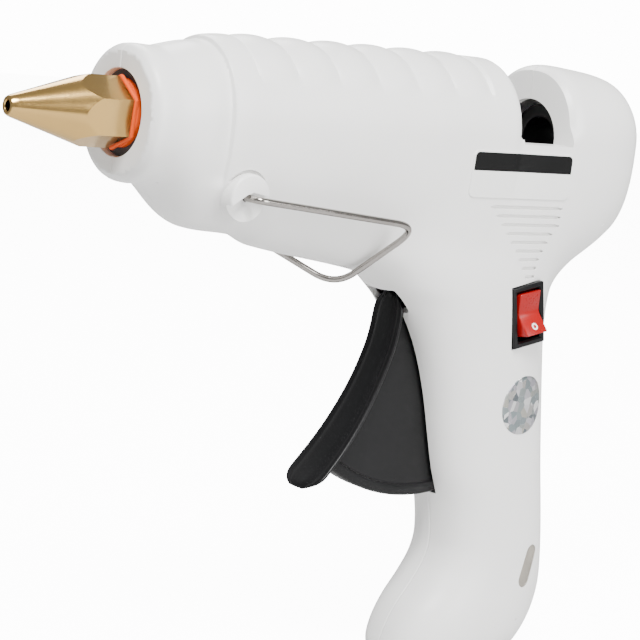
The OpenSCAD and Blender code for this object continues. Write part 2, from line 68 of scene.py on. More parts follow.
GRIP_FRONT = [[-150, 137], [-147, 132.6], [-141, 133.2], [-134, 136.6], [-127, 142], [-121, 145.8],
              [-115, 147.2], [-104, 145.4], [-93, 141.2], [-83, 138.2], [-73, 135.3], [-63, 131.6],
              [-54, 127], [-46, 121], [-40, 114], [-30, 104], [-10, 98]]
GRIP_BACK = [[-150, 172], [-148, 177], [-143, 181.5], [-136, 185.4], [-128, 187], [-117, 185.8],
             [-88, 180.8], [-58, 176], [-48, 175.4], [-40, 177], [-32, 182], [-24, 186], [-10, 188]]
GRIP_SIDE = [[-150, 11], [-147, 14], [-140, 15.6], [-120, 15], [-90, 15.2], [-60, 16.2], [-40, 17],
             [-28, 16.6], [-10, 15]]
FRONT_X, SADDLE_X, HOOD_X, BACK_X = 29.3, 148.0, 166.0, 200.0
HANDLE_Z = -150.0
SADDLE_FLOOR = -0.6
WALL = 2.2
TROUGH_R = 11.0
OPENING_R = 10.4
NECK_X = 51.2
SHOULDER = 5.0
PIVOT, PIN_HOLE_R = (136.0, -46.0), 1.55
STAND = (57.5, -17.3)
WIRE_R = 0.9
SWITCH_AT, SWITCH_TILT, SWITCH_FACE = (158.4, -47.4), math.radians(11), -16.1
WINDOW_AT, WINDOW_TILT = (173.5, -121.5), math.radians(-16)
SCREWS = [(46, -16.8), (104, -28.5), (189, -20), (170, -66), (175, -137)]
POST_R = 3.6
GLAND_X, GLAND_R = 156.0, 4.5
CLAMP_SCREWS = [(GLAND_X + side * 6, HANDLE_Z + 14.5) for side in (-1, 1)]
RIB_FROM, RIB_TO, RIB_COUNT, RIB_HIGH = 59.0, 137.0, 6, 1.45


def curve(keys, t):
    k = np.array(keys, float)
    x, v = k[:, 0], k[:, 1]
    s = np.empty(len(x))
    s[1:-1] = (v[2:] - v[:-2]) / (x[2:] - x[:-2])
    s[0] = (v[1] - v[0]) / (x[1] - x[0])
    s[-1] = (v[-1] - v[-2]) / (x[-1] - x[-2])
    i = np.clip(np.searchsorted(x, t, side="left") - 1, 0, len(x) - 2)
    w = x[i + 1] - x[i]
    u = np.clip((t - x[i]) / w, 0, 1)
    u2, u3 = u * u, u * u * u
    return ((2 * u3 - 3 * u2 + 1) * v[i] + (u3 - 2 * u2 + u) * w * s[i]
            + (3 * u2 - 2 * u3) * v[i + 1] + (u3 - u2) * w * s[i + 1])


def smooth(v, a, b):
    u = np.clip((v - a) / (b - a), 0, 1)
    return u * u * (3 - 2 * u)


def ring_gap(a, b, ra, rb, n):
    """Signed gap along the ray from the middle of a superellipse with those half sizes."""
    ra, rb = np.maximum(ra, 0.05), np.maximum(rb, 0.05)
    g = ((np.abs(a) / ra) ** n + (np.abs(b) / rb) ** n) ** (1 / n)
    r = np.hypot(a, b)
    return np.where(g > 1e-3, r * (1 - 1 / np.maximum(g, 1e-3)), -np.minimum(ra, rb))


def smooth_max(a, b, k):
    h = np.clip(0.5 + 0.5 * (a - b) / k, 0, 1)
    return a * h + b * (1 - h) + k * h * (1 - h)


def smooth_min(a, b, k):
    return -smooth_max(-a, -b, k)


def ribs(x, z):
    phase = (x - RIB_FROM) / (RIB_TO - RIB_FROM) * RIB_COUNT
    hump = np.abs(np.sin(math.pi * phase)) ** 0.7
    ends = smooth(x, RIB_FROM - 3, RIB_FROM + 0.5) * (1 - smooth(x, RIB_TO - 0.5, RIB_TO + 3))
    fade = smooth(z, 9.5, 13)
    return (RIB_HIGH * hump - 1.0) * np.where((phase < 0) | (phase > RIB_COUNT), 0, 1) * ends * fade


def barrel_field(p):
    x, y, z = p.T
    xc = np.clip(x, FRONT_X, SADDLE_X)
    up = z > 0
    w, t, b = curve(SIDE, xc), curve(TOP, xc), -curve(LOW, xc)
    d = ring_gap(y, z, w, np.where(up, t, b), np.where(up, 2.1, curve(LOW_SHAPE, xc)))
    # a fine step where the neck meets the barrel, and the ribs across the top
    before = 1 - smooth(x, NECK_X - 0.3, NECK_X + 0.3)
    d = d + 0.8 * before * np.exp(-((x - NECK_X) / 3.5) ** 2) * smooth(z, -16, -12)
    d = d - ribs(x, z)
    return np.maximum(d, np.maximum(FRONT_X - x, x - SADDLE_X))


def hood_field(p):
    x, y, z = p.T
    xc = np.clip(x, 134, BACK_X)
    up = z > 0
    w, t, b = curve(HOOD_SIDE, xc), curve(HOOD_TOP, xc), -curve(HOOD_LOW, xc)
    d = ring_gap(y, z, w, np.where(up, t, b), np.where(up, 2.2, 2.6))
    d = np.maximum(d, np.maximum(134 - x, x - BACK_X))
    return np.maximum(d, np.minimum(151 - x, z - 0.6))


def grip_field(p):
    x, y, z = p.T
    zc = np.clip(z, HANDLE_Z, -10)
    f, r, w = curve(GRIP_FRONT, zc), curve(GRIP_BACK, zc), curve(GRIP_SIDE, zc)
    d = ring_gap(x - (f + r) / 2, y, (r - f) / 2, w, 2.5)
    return np.maximum(d, np.maximum(HANDLE_Z - z, z + 10))


def casing_field(p):
    x, _, z = p.T
    d = smooth_min(barrel_field(p), hood_field(p), 0.6)
    # the hood's front edge is rolled over
    t = np.clip((HOOD_X + SHOULDER - x) / SHOULDER, 0, 1)
    roll = 1 - np.sqrt(1 - t * t)
    d = d + 2.4 * roll * smooth(x, 150, 157) * smooth(z, SADDLE_FLOOR + 1, SADDLE_FLOOR + 6)
    return smooth_min(d, grip_field(p), 4.0)


def seam_field(p):
    return casing_field(p) + 0.22 * np.exp(-(p[:, 1] / 0.2) ** 2)


def gradient(field, p, h=0.05):
    g = np.empty_like(p)
    for k in range(3):
        e = np.zeros(3)
        e[k] = h
        g[:, k] = (field(p + e) - field(p - e)) / (2 * h)
    return g


def settle(p, field, offset, rounds=5, planar=None, limit=1.2):
    """Moves points onto the surface where the field equals -offset."""
    for _ in range(rounds):
        g = gradient(field, p)
        if planar is not None:
            g[planar, 1] = 0
        n2 = np.maximum((g * g).sum(1), 0.05)
        step = (field(p) + offset)[:, None] * g / n2[:, None]
        size = np.linalg.norm(step, axis=1, keepdims=True)
        p = p - step * np.minimum(1, limit / np.maximum(size, 1e-9))
    return p


def skin_y(x, z, side=-1.0):
    """Y of the casing's flank over an X and Z, in millimetres."""
    x, z = np.broadcast_arrays(np.asarray(x, float), np.asarray(z, float))
    lo, hi = np.full(x.size, 6.0), np.full(x.size, 25.0)
    for _ in range(26):
        mid = (lo + hi) / 2
        inside = casing_field(np.stack([x.ravel(), mid * side, z.ravel()], 1)) < 0
        lo, hi = np.where(inside, mid, lo), np.where(inside, hi, mid)
    return (lo * side).reshape(x.shape)


# ---- mesh helpers -----------------------------------------------------------------------
def new_object(name, verts, faces):
    mesh = bpy.data.meshes.new(name)
    mesh.from_pydata([tuple(v) for v in np.asarray(verts, float) * MM], [], [tuple(f) for f in faces])
    mesh.validate()
    o = bpy.data.objects.new(name, mesh)
    scene.collection.objects.link(o)
    return o


def points_of(o):
    a = np.empty(len(o.data.vertices) * 3)
    o.data.vertices.foreach_get("co", a)
    return a.reshape(-1, 3) / MM


def set_points(o, p):
    o.data.vertices.foreach_set("co", (p * MM).ravel())
    o.data.update()


def apply_modifiers(o):
    deps = bpy.context.evaluated_depsgraph_get()
    mesh = bpy.data.meshes.new_from_object(o.evaluated_get(deps), depsgraph=deps)
    old = o.data
    o.modifiers.clear()
    o.data = mesh
    mesh.name = o.name
    bpy.data.meshes.remove(old)


def drop(o):
    mesh = o.data
    bpy.data.objects.remove(o)
    bpy.data.meshes.remove(mesh)


def combine(o, other, operation):
    m = o.modifiers.new("b", "BOOLEAN")
    m.solver = "MANIFOLD"
    m.operation = operation
    m.object = other
    apply_modifiers(o)
    drop(other)
    return o


def cut(o, *others):
    for other in others:
        combine(o, other, "DIFFERENCE")
    return o


def add(o, *others):
    for other in others:
        combine(o, other, "UNION")
    return o


def loft(name, rings):
    n = len(rings[0])
    verts = np.concatenate([np.asarray(r, float) for r in rings])
    faces = []
    for k in range(len(rings) - 1):
        for i in range(n):
            j = (i + 1) % n
            faces.append((k * n + i, k * n + j, (k + 1) * n + j, (k + 1) * n + i))
    faces.append(tuple(range(n))[::-1])
    faces.append(tuple(range((len(rings) - 1) * n, len(rings) * n)))
    o = new_object(name, verts, faces)
    outward(o)
    return o


def outward(o):
    bm = bmesh.new()
    bm.from_mesh(o.data)
    bmesh.ops.recalc_face_normals(bm, faces=bm.faces)
    bm.to_mesh(o.data)
    bm.free()


def lathe(name, profile, sides=64, axis="x", at=(0, 0, 0)):
    """Turns a closed profile of (along, radius) round an axis; points with radius 0 are poles."""
    verts, rows = [], []
    for along, r in profile:
        if r < 1e-6:
            rows.append([len(verts)])
            verts.append((along, 0, 0))
        else:
            rows.append([len(verts) + i for i in range(sides)])
            for i in range(sides):
                a = 2 * math.pi * i / sides
                verts.append((along, r * math.cos(a), r * math.sin(a)))
    faces = []
    closed = len(rows[0]) > 1 and len(rows[-1]) > 1
    pairs = list(zip(rows, rows[1:])) + ([(rows[-1], rows[0])] if closed else [])
    for a, b in pairs:
        for i in range(sides):
            j = (i + 1) % sides
            if len(a) == 1 and len(b) == 1:
                continue
            if len(a) == 1:
                faces.append((a[0], b[i], b[j]))
            elif len(b) == 1:
                faces.append((a[i], a[j], b[0]))
            else:
                faces.append((a[i], a[j], b[j], b[i]))
    v = np.array(verts, float)
    if axis == "y":
        v = v[:, [1, 0, 2]]
    elif axis == "z":
        v = v[:, [2, 1, 0]]
    o = new_object(name, v + np.array(at, float), faces)
    outward(o)
    return o


def rounded(x0, x1, r_out, r_in=0.0, edge=0.4, steps=4):
    """Closed profile of a tube or a rod with rounded edges."""
    pts = []
    corners = [(x0, r_in, 1, 1), (x0, r_out, 1, -1), (x1, r_out, -1, -1), (x1, r_in, -1, 1)]
    for (x, r, sx, sr), start in zip(corners, [math.pi * 1.5, math.pi, math.pi / 2, 0]):
        if r < 1e-6:
            pts.append((x, 0.0))
            continue
        cx, cr = x + sx * edge, r + sr * edge
        for k in range(steps + 1):
            a = start - (math.pi / 2) * k / steps
            pts.append((cx + edge * math.cos(a), cr + edge * math.sin(a)))
    return pts


def bar(name, at, y0, y1, r, edge=0.3, sides=40):
    prof = rounded(y0, y1, r, 0.0, edge)
    return lathe(name, prof, sides, "y", (at[0], 0, at[1]))


def box(name, lo, hi, at=(0, 0, 0), turn=0.0):
    """Box between two corners, turned about Y and moved."""
    c = np.array([[x, y, z] for x in (lo[0], hi[0]) for y in (lo[1], hi[1]) for z in (lo[2], hi[2])], float)
    co, si = math.cos(turn), math.sin(turn)
    c = np.stack([c[:, 0] * co + c[:, 2] * si, c[:, 1], -c[:, 0] * si + c[:, 2] * co], 1)
    c = c + np.array(at, float)
    faces = [(0, 1, 3, 2), (4, 6, 7, 5), (0, 4, 5, 1), (2, 3, 7, 6), (0, 2, 6, 4), (1, 5, 7, 3)]
    o = new_object(name, c, faces)
    outward(o)
    return o


def prism(name, outline, y0, y1, bevel=0.0, segments=3, angle=35):
    n = len(outline)
    verts = [(x, y0, z) for x, z in outline] + [(x, y1, z) for x, z in outline]
    faces = [tuple(range(n)), tuple(range(2 * n - 1, n - 1, -1))]
    faces += [(i, n + i, n + (i + 1) % n, (i + 1) % n) for i in range(n)]
    o = new_object(name, verts, faces)
    outward(o)
    if bevel:
        m = o.modifiers.new("bevel", "BEVEL")
        m.width = bevel * MM
        m.segments = segments
        m.limit_method = "ANGLE"
        m.angle_limit = math.radians(angle)
        m.use_clamp_overlap = True
        apply_modifiers(o)
    return o


def shade(o, angle=30.0):
    mesh = o.data
    mesh.polygons.foreach_set("use_smooth", [True] * len(mesh.polygons))
    bm = bmesh.new()
    bm.from_mesh(mesh)
    lim = math.radians(angle)
    for e in bm.edges:
        e.smooth = not (len(e.link_faces) == 2 and e.calc_face_angle(0) > lim)
    bm.to_mesh(mesh)
    bm.free()
    mesh.update()


# ---- materials --------------------------------------------------------------------------
def material(name, colour, rough, metal=0.0, grain=2500.0, bump=0.05, depth=0.00003, mottle=0.03,
             streak=None, rough_span=0.08, wear=0.0, wear_colour=(1, 1, 1), transmission=0.0, gloss=0.5):
    """Principled surface with fine grain, slow mottling and, where asked, edges rubbed lighter."""
    mat = bpy.data.materials.new(name)
    mat.use_nodes = True
    t = mat.node_tree
    b = t.nodes["Principled BSDF"]
    b.inputs["Metallic"].default_value = metal
    b.inputs["IOR"].default_value = 1.5
    b.inputs["Specular IOR Level"].default_value = gloss
    b.inputs["Transmission Weight"].default_value = transmission
    pos = t.nodes.new("ShaderNodeTexCoord")
    place = t.nodes.new("ShaderNodeMapping")
    if streak:
        place.inputs["Scale"].default_value = streak
    t.links.new(pos.outputs["Object"], place.inputs["Vector"])
    large = t.nodes.new("ShaderNodeTexNoise")
    large.inputs["Scale"].default_value = 60.0
    large.inputs["Detail"].default_value = 5.0
    t.links.new(pos.outputs["Object"], large.inputs["Vector"])
    fine = t.nodes.new("ShaderNodeTexNoise")
    fine.inputs["Scale"].default_value = grain
    fine.inputs["Detail"].default_value = 4.0
    t.links.new(place.outputs["Vector"], fine.inputs["Vector"])
    ramp = t.nodes.new("ShaderNodeValToRGB")
    c = np.array(colour)
    ramp.color_ramp.elements[0].position, ramp.color_ramp.elements[1].position = 0.3, 0.7
    ramp.color_ramp.elements[0].color = (*np.clip(c * (1 - mottle), 0, 1), 1)
    ramp.color_ramp.elements[1].color = (*np.clip(c * (1 + mottle), 0, 1), 1)
    t.links.new(large.outputs["Fac"], ramp.inputs["Fac"])
    colour_out = ramp.outputs["Color"]
    if wear:
        geo = t.nodes.new("ShaderNodeNewGeometry")
        edge = t.nodes.new("ShaderNodeMapRange")
        edge.inputs["From Min"].default_value = 0.52
        edge.inputs["From Max"].default_value = 0.62
        t.links.new(geo.outputs["Pointiness"], edge.inputs["Value"])
        rub = t.nodes.new("ShaderNodeMath")
        rub.operation = "MULTIPLY"
        t.links.new(edge.outputs["Result"], rub.inputs[0])
        t.links.new(large.outputs["Fac"], rub.inputs[1])
        scale = t.nodes.new("ShaderNodeMath")
        scale.operation = "MULTIPLY"
        scale.inputs[1].default_value = wear
        t.links.new(rub.outputs["Value"], scale.inputs[0])
        mix = t.nodes.new("ShaderNodeMixRGB")
        mix.inputs["Color2"].default_value = (*wear_colour, 1)
        t.links.new(scale.outputs["Value"], mix.inputs["Fac"])
        t.links.new(colour_out, mix.inputs["Color1"])
        colour_out = mix.outputs["Color"]
    t.links.new(colour_out, b.inputs["Base Color"])
    rr = t.nodes.new("ShaderNodeMapRange")
    rr.inputs["From Min"].default_value, rr.inputs["From Max"].default_value = 0.3, 0.7
    rr.inputs["To Min"].default_value = max(rough - rough_span, 0.03)
    rr.inputs["To Max"].default_value = min(rough + rough_span, 1.0)
    blend = t.nodes.new("ShaderNodeMath")
    blend.operation = "ADD"
    half = t.nodes.new("ShaderNodeMath")
    half.operation = "MULTIPLY"
    half.inputs[1].default_value = 0.5
    t.links.new(large.outputs["Fac"], blend.inputs[0])
    t.links.new(fine.outputs["Fac"], blend.inputs[1])
    t.links.new(blend.outputs["Value"], half.inputs[0])
    t.links.new(half.outputs["Value"], rr.inputs["Value"])
    t.links.new(rr.outputs["Result"], b.inputs["Roughness"])
    bp = t.nodes.new("ShaderNodeBump")
    bp.inputs["Strength"].default_value = bump
    bp.inputs["Distance"].default_value = depth
    t.links.new(fine.outputs["Fac"], bp.inputs["Height"])
    t.links.new(bp.outputs["Normal"], b.inputs["Normal"])
    return mat


WHITE = material("casing_white", (0.80, 0.795, 0.78), 0.36, grain=2600, bump=0.25, depth=0.00003,
                 mottle=0.012, rough_span=0.07)
BLACK = material("black_moulding", (0.003, 0.003, 0.0034), 0.34, grain=2200, bump=0.25, depth=0.00002,
                 mottle=0.15, gloss=0.22)
RED = material("red_moulding", (0.27, 0.002, 0.002), 0.3, grain=2200, bump=0.15, mottle=0.06, gloss=0.3)
MARK = material("mark_white", (0.85, 0.85, 0.83), 0.45, grain=2200, bump=0.1, mottle=0.02)
BRASS = material("brass", (0.56, 0.355, 0.12), 0.17, metal=1.0, grain=900, bump=0.12, depth=0.00002,
                 mottle=0.05, streak=(6, 1, 1), rough_span=0.07, wear=0.4, wear_colour=(0.95, 0.8, 0.5))
ORANGE = material("silicone_orange", (0.72, 0.085, 0.01), 0.5, grain=1500, bump=0.3, mottle=0.08, gloss=0.2)
STEEL = material("steel_wire", (0.33, 0.31, 0.29), 0.18, metal=1.0, grain=1800, bump=0.2, depth=0.00002,
                 mottle=0.08, rough_span=0.1)
ZINC = material("zinc_screw", (0.58, 0.58, 0.57), 0.32, metal=1.0, grain=1500, bump=0.3, mottle=0.12)
ALUMINIUM = material("cast_aluminium", (0.56, 0.56, 0.56), 0.5, metal=1.0, grain=1300, bump=0.8,
                     depth=0.00008, mottle=0.15)
CERAMIC = material("heater_ceramic", (0.16, 0.15, 0.14), 0.7, grain=1600, bump=0.6, mottle=0.2)
MICA = material("insulator_sheet", (0.42, 0.25, 0.12), 0.6, grain=1200, bump=0.5, mottle=0.25)
GREY = material("grey_moulding", (0.16, 0.16, 0.17), 0.45, grain=2200, bump=0.25, mottle=0.15)
RUBBER = material("black_rubber", (0.028, 0.028, 0.028), 0.6, grain=1600, bump=0.5, mottle=0.2)
LEAD = material("lead_sleeve", (0.45, 0.02, 0.015), 0.45, grain=2600, bump=0.3, mottle=0.1)
GOLD = material("terminal_brass", (0.72, 0.55, 0.25), 0.35, metal=1.0, grain=1600, bump=0.2, mottle=0.1)
CLEAR = material("frosted_window", (0.36, 0.33, 0.28), 0.42, grain=700, bump=0.8, mottle=0.3,
                 transmission=0.25)
PLATE_WHITE = material("plate_print_white", (0.80, 0.80, 0.78), 0.5, grain=2400, bump=0.15, mottle=0.02)
PLATE_BLACK = material("plate_print_black", (0.002, 0.002, 0.002), 0.5, grain=2400, bump=0.1, mottle=0.15,
                       gloss=0.15)


def foil():
    mat = bpy.data.materials.new("sticker_foil")
    mat.use_nodes = True
    t = mat.node_tree
    b = t.nodes["Principled BSDF"]
    b.inputs["Metallic"].default_value = 0.85
    pos = t.nodes.new("ShaderNodeTexCoord")
    cell = t.nodes.new("ShaderNodeTexVoronoi")
    cell.inputs["Scale"].default_value = 480.0
    t.links.new(pos.outputs["Object"], cell.inputs["Vector"])
    split = t.nodes.new("ShaderNodeSeparateColor")
    t.links.new(cell.outputs["Color"], split.inputs["Color"])
    ramp = t.nodes.new("ShaderNodeValToRGB")
    cr = ramp.color_ramp
    cr.elements[0].color = (0.10, 0.11, 0.12, 1)
    cr.elements[1].color = (0.85, 0.85, 0.84, 1)
    for at, col in ((0.2, (0.24, 0.28, 0.29, 1)), (0.4, (0.40, 0.39, 0.34, 1)), (0.6, (0.36, 0.35, 0.39, 1)),
                    (0.8, (0.62, 0.62, 0.62, 1))):
        cr.elements.new(at).color = col
    t.links.new(split.outputs["Red"], ramp.inputs["Fac"])
    t.links.new(ramp.outputs["Color"], b.inputs["Base Color"])
    rr = t.nodes.new("ShaderNodeMapRange")
    rr.inputs["To Min"].default_value, rr.inputs["To Max"].default_value = 0.18, 0.5
    t.links.new(split.outputs["Green"], rr.inputs["Value"])
    t.links.new(rr.outputs["Result"], b.inputs["Roughness"])
    bp = t.nodes.new("ShaderNodeBump")
    bp.inputs["Strength"].default_value = 0.5
    bp.inputs["Distance"].default_value = 0.0001
    t.links.new(split.outputs["Blue"], bp.inputs["Height"])
    t.links.new(bp.outputs["Normal"], b.inputs["Normal"])
    return mat


FOIL = foil()


def dress(o, mat):
    o.data.materials.clear()
    o.data.materials.append(mat)
    o.data.polygons.foreach_set("material_index", [0] * len(o.data.polygons))


def place(o, mat, body, slot, *nodes):
    dress(o, mat)
    if nodes:
        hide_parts(*nodes)
    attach(o, body)
    return o


# ---- casing -----------------------------------------------------------------------------
def superellipse(count, n_up, n_down):
    out = []
    for i in range(count):
        a = 2 * math.pi * (i + 0.5) / count
        c, s = math.cos(a), math.sin(a)
        n = n_up if s > 0 else n_down
        out.append((math.copysign(abs(c) ** (2 / n), c), math.copysign(abs(s) ** (2 / n), s)))
    return out


def rough_body(inset):
    """The three plain lofts of barrel, hood and handle, as a start for the smooth skin."""
    rings = superellipse(48, 2.1, 2.25)
    one = []
    for x in np.linspace(FRONT_X + inset, SADDLE_X - inset, 70):
        w, t, b = (float(curve(SIDE, x)) - inset, float(curve(TOP, x)) - inset, -float(curve(LOW, x)) - inset)
        one.append([(x, w * c, (t if s > 0 else b) * s) for c, s in rings])
    barrel = loft("rough_barrel", one)
    rings = superellipse(48, 2.2, 2.6)
    one = []
    for x in np.linspace(134 + inset, BACK_X - inset - 0.3, 50):
        w, t, b = (float(curve(HOOD_SIDE, x)) - inset, float(curve(HOOD_TOP, x)) - inset,
                   -float(curve(HOOD_LOW, x)) - inset)
        one.append([(x, max(w, 1) * c, (max(t, 0.5) if s > 0 else max(b, 1)) * s) for c, s in rings])
    hood = loft("rough_hood", one)
    if inset == 0:
        cut(hood, box("slit", (120, -40, 0.6), (151, 40, 40)))
    rings = superellipse(48, 2.5, 2.5)
    one = []
    for z in np.linspace(HANDLE_Z + inset, -10 - inset, 70):
        f, r, w = (float(curve(GRIP_FRONT, z)) + inset, float(curve(GRIP_BACK, z)) - inset,
                   float(curve(GRIP_SIDE, z)) - inset)
        one.append([((f + r) / 2 + (r - f) / 2 * c, w * s, z) for c, s in rings])
    grip = loft("rough_grip", one)
    return add(barrel, hood, grip)


def remeshed(o, size):
    m = o.modifiers.new("r", "REMESH")
    m.mode = "VOXEL"
    m.voxel_size = size * MM
    apply_modifiers(o)
    return o


def slice_at(o, planes):
    """Adds edge loops where the mesh crosses these values of Y."""
    bm = bmesh.new()
    bm.from_mesh(o.data)
    for y in planes:
        geom = bm.verts[:] + bm.edges[:] + bm.faces[:]
        bmesh.ops.bisect_plane(bm, geom=geom, dist=1e-6, plane_co=(0, y * MM, 0), plane_no=(0, 1, 0))
    bm.to_mesh(o.data)
    bm.free()


def refine(o, test):
    bm = bmesh.new()
    bm.from_mesh(o.data)
    edges = [e for e in bm.edges if all(test(v.co) for v in e.verts)]
    bmesh.ops.subdivide_edges(bm, edges=edges, cuts=1, use_grid_fill=True)
    bmesh.ops.triangulate(bm, faces=[f for f in bm.faces if len(f.verts) > 4])
    bm.to_mesh(o.data)
    bm.free()


SEAM_PLANES = (-0.45, -0.15, 0.0, 0.15, 0.45)


def joined(*objs):
    """Union of several closed meshes."""
    return add(objs[0], *objs[1:])


def mirrored(make):
    """Both hands of a piece made for one side: make(-1) and make(1)."""
    return [make(-1), make(1)]


def side_bar(side, at, y0, y1, r, edge=0.3, sides=40):
    lo, hi = sorted((y0 * side, y1 * side))
    return bar("bar", at, lo, hi, r, edge, sides)


def duplicate(o, name):
    c = bpy.data.objects.new(name, o.data.copy())
    scene.collection.objects.link(c)
    return c


def support_rib(x):
    wall = box("rib", (x, -14, -20), (x + 4.5, 14, 12))
    return cut(wall, lathe("hole", [(x - 1, 0), (x - 1, 12.55), (x + 6, 12.55), (x + 6, 0)]))


def flank_groove(x0, x1, z, depth=0.75, half=0.58, side=-1.0):
    """A shallow slot that follows the flank, as a cutter."""
    xs = np.linspace(x0, x1, 14)
    ys = skin_y(xs, z, side)
    rings = []
    for x, y in zip(xs, ys):
        end = half * math.sqrt(max(0.12, 1 - (2 * (x - x0) / (x1 - x0) - 1) ** 16))
        inner, outer = y - side * depth, y + side * 0.8
        rings.append([(x, outer, z - end * 1.3), (x, inner, z - end * 0.55), (x, inner, z + end * 0.55),
                      (x, outer, z + end * 1.3)])
    return loft("groove", rings)


GROOVE_LEFT = (138.6, 141.2, 143.6, 146.0, 147.9, 150.3, 152.0, 153.8, 155.4)
GROOVE_RIGHT = (165.5, 165.5, 165.7, 163.8, 162.5, 161.5, 160.6, 160.0, 159.7)
GROOVE_TOP, GROOVE_PITCH = -17.7, 2.4


def window_ring(margin, count=14):
    """Outline of the indicator window, in X and Z."""
    pts = []
    co, si = math.cos(WINDOW_TILT), math.sin(WINDOW_TILT)
    for sign, start in ((1, 0.0), (-1, math.pi)):
        for k in range(count + 1):
            a = start + math.pi * k / count
            u, v = (2.3 + margin) * math.cos(a), sign * 4 + (2.3 + margin) * math.sin(a)
            pts.append((WINDOW_AT[0] + u * co - v * si, WINDOW_AT[1] + u * si + v * co))
    return pts


def arc(centre, r, a0, a1, count):
    return [(centre[0] + r * math.cos(math.radians(a0 + (a1 - a0) * k / count)),
             centre[1] + r * math.sin(math.radians(a0 + (a1 - a0) * k / count))) for k in range(count + 1)]


def trigger_slot():
    wedge = arc(PIVOT, 55.4, 196, 296, 60)
    slot = prism("slot", [PIVOT] + wedge, -3.4, 3.4)
    keep = prism("keep", [(108, -44), (124, -42), (150, -60), (158, -120), (100, -120)], -9, 9)
    combine(slot, keep, "INTERSECT")
    mouth = prism("mouth", [(117.6, -42), (126.5, -42), (126.5, -45), (121, -52), (113, -52), (113, -46)],
                  -6.3, 6.3, 0.8)
    return joined(slot, mouth)


def switch_box(name, half_x, half_z, y0, y1):
    at = (SWITCH_AT[0], 0, SWITCH_AT[1])
    return box(name, (-half_x, y0, -half_z), (half_x, y1, half_z), at, -SWITCH_TILT)


def stand_boss(side):
    """Round boss with its lower half cut back where the wire swings."""
    boss = side_bar(side, STAND, 10.5, 18.6, 5.9, 0.7, 64)
    lo, hi = sorted((16.2 * side, 20 * side))
    notch = [(-8, -3.4), (-1.2, 0.9), (0.6, 1.5), (8, 0.1), (8, -9), (-8, -9)]
    cut(boss, prism("step", [(STAND[0] + x, STAND[1] + z) for x, z in notch], lo, hi))
    return boss


def casing_solid():
    outer = remeshed(rough_body(0), 1.0)
    set_points(outer, settle(points_of(outer), casing_field, 0.0, 4))
    slice_at(outer, SEAM_PLANES)
    refine(outer, lambda c: 0.056 < c.x < 0.140 and c.z > 0.008)
    refine(outer, lambda c: 0.0485 < c.x < 0.0535)
    refine(outer, lambda c: 0.0500 < c.x < 0.0522)
    p = points_of(outer)
    set_points(outer, settle(p, seam_field, 0.0, 5, planar=np.abs(p[:, 1]) < 0.5))
    inner = remeshed(rough_body(WALL), 1.8)
    set_points(inner, settle(points_of(inner), casing_field, WALL, 4))
    cut(inner,
        lathe("t", [(SADDLE_X - WALL, 0), (SADDLE_X - WALL, TROUGH_R + WALL),
                    (HOOD_X + WALL, TROUGH_R + WALL), (HOOD_X + WALL, 0)]),
        box("t", (SADDLE_X - WALL, -40, SADDLE_FLOOR - WALL), (SADDLE_X + 0.1, 40, 40)),
        box("t", (SADDLE_X - 0.1, -40, SADDLE_FLOOR - WALL), (HOOD_X + 0.1, 40, SADDLE_FLOOR + 1)),
        box("t", (HOOD_X - 0.2, -40, SADDLE_FLOOR - WALL), (HOOD_X + WALL, 40, 40)))
    posts = joined(*[side_bar(s, at, -0.5, 25, POST_R) for at in SCREWS for s in (-1, 1)],
                   *mirrored(lambda s: side_bar(s, PIVOT, 7, 25, POST_R)),
                   *[bar("post", at, -25, -4, 2.8) for at in CLAMP_SCREWS],
                   support_rib(33), support_rib(92.5))
    combine(posts, duplicate(outer, "whole"), "INTERSECT")
    cut(outer, box("t", (SADDLE_X + 0.02, -40, SADDLE_FLOOR), (HOOD_X, 40, 40)), inner)
    add(outer, posts, *mirrored(stand_boss))
    openings = joined(
        lathe("t", rounded(SADDLE_X - WALL - 1, HOOD_X + WALL + 1, TROUGH_R, 0, 0.01), 72),
        lathe("t", [(20, 0), (20, 11), (FRONT_X, 10.6), (FRONT_X + 0.4, OPENING_R), (45, OPENING_R),
                    (45, 0)], 96),
        lathe("t", [(BACK_X - 8, 0), (BACK_X - 8, 8.1), (BACK_X - 0.9, 8.1), (BACK_X + 0.4, 9.4),
                    (BACK_X + 5, 9.4), (BACK_X + 5, 0)], 96),
        trigger_slot(),
        lathe("t", [(HANDLE_Z - 3, 0), (HANDLE_Z - 3, GLAND_R), (HANDLE_Z + 7, GLAND_R),
                    (HANDLE_Z + 7, 0)], 64, "z", (GLAND_X, 0, 0)),
        switch_box("t", 4.95, 7.75, -40, -8), switch_box("t", 6.1, 8.9, -40, SWITCH_FACE + 0.75),
        prism("t", window_ring(0.05), -40, -8))
    cut(outer, openings)
    holes = joined(*[side_bar(1, s, 6.9, 40, 3.1) for s in SCREWS])
    cut(outer, holes)
    cut(outer, joined(*[bar("t", s, -10, 9, 1.5) for s in SCREWS]))
    cut(outer, joined(*[bar("t", at, -10.2, 3, 1.05) for at in CLAMP_SCREWS],
                      bar("t", PIVOT, -14, 14, PIN_HOLE_R),
                      *mirrored(lambda s: side_bar(s, STAND, 6, 40, WIRE_R + 0.1))))
    cut(outer, joined(*[flank_groove(a, b, GROOVE_TOP - GROOVE_PITCH * k)
                        for k, (a, b) in enumerate(zip(GROOVE_LEFT, GROOVE_RIGHT))]))
    for side in (-1, 1):
        lo, hi = sorted((15.9 * side, 22 * side))
        ring = lathe("t", [(lo, 6.0), (lo, 6.8), (hi, 6.8), (hi, 6.0)], 64, "y", (STAND[0], 0, STAND[1]))
        cut(outer, ring)
    cut(outer, box("t", (HOOD_X - 1, -0.14, SADDLE_FLOOR + 1), (HOOD_X + 0.25, 0.14, 30)))
    return outer


